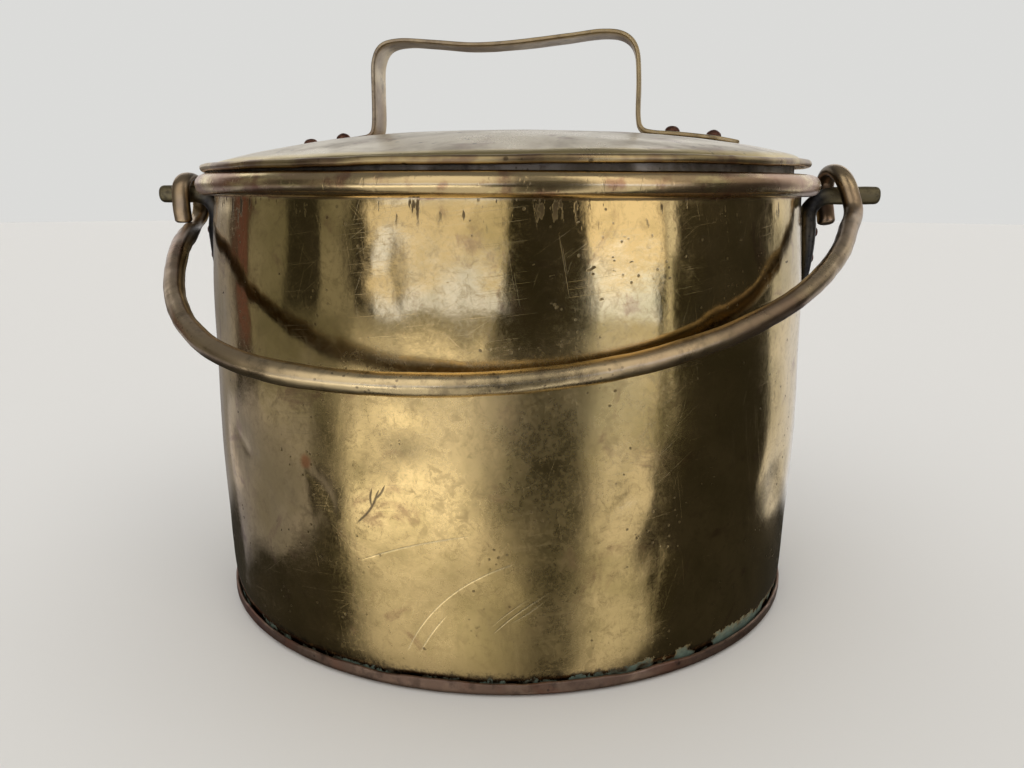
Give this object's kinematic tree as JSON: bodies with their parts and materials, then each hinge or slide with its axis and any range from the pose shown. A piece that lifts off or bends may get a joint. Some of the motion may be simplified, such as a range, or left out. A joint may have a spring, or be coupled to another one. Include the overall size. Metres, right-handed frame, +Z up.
{
  "type": "lidded cooking pot",
  "caption": "Round lidded metal pot with a rolled rim, a swinging rod bail hooked on two side pegs, and a lift-off domed lid with a riveted strap handle",
  "frame": {"origin": "centre of the flat underside, on the surface the pot stands on", "axes": "+Z up along the pot, the two lugs on +X and -X, and the bail rests against the wall on the -Y side"},
  "size_m": [0.3724, 0.3193, 0.2812],
  "materials": {
    "body_brass": "old polished sheet brass with a dark olive-brown patina, dents and fine scratches",
    "rim_iron": "rusty iron wire, hidden inside the rolled rim",
    "base_copper": "worn copper with green corrosion along the seam",
    "lug_iron": "forged, blue-black, bronze coloured where it is rubbed",
    "bail_bronze": "brown bronze rod, brighter where hands and pegs rub it",
    "lid_brass": "polished sheet brass, slightly wavy, with a grey-brown patina",
    "collar_brass": "dull tarnished sheet brass",
    "strap_brass": "flat brass strap with hammered, rounded edges",
    "rivet_copper": "dark reddish-brown oxidised copper"
  },
  "bodies": {
    "pot": {"pot_wall": "body_brass", "rim_wire": "rim_iron", "base_pan": "base_copper", "lug_left": "lug_iron", "lug_right": "lug_iron", "lug_rivet_left_lower": "rivet_copper", "lug_rivet_left_middle": "rivet_copper", "lug_rivet_left_upper": "rivet_copper", "lug_rivet_right_lower": "rivet_copper", "lug_rivet_right_middle": "rivet_copper", "lug_rivet_right_upper": "rivet_copper"},
    "bail": {"bail_handle": "bail_bronze"},
    "lid": {"lid_dome": "lid_brass", "lid_collar": "collar_brass", "lid_handle": "strap_brass", "lid_rivet_left_outer": "rivet_copper", "lid_rivet_left_inner": "rivet_copper", "lid_rivet_right_outer": "rivet_copper", "lid_rivet_right_inner": "rivet_copper"}
  },
  "joints": [
    {"name": "bail_swing", "type": "hinge", "parent": "pot", "child": "bail", "pos_m": [0, -0.007, 0.2013], "axis": [-1, 0, 0], "range_deg": [0, 195]},
    {"name": "lid_lift", "type": "slide", "parent": "pot", "child": "lid", "axis": [0, 0, 1], "range_m": [0, 0.07]}
  ]
}
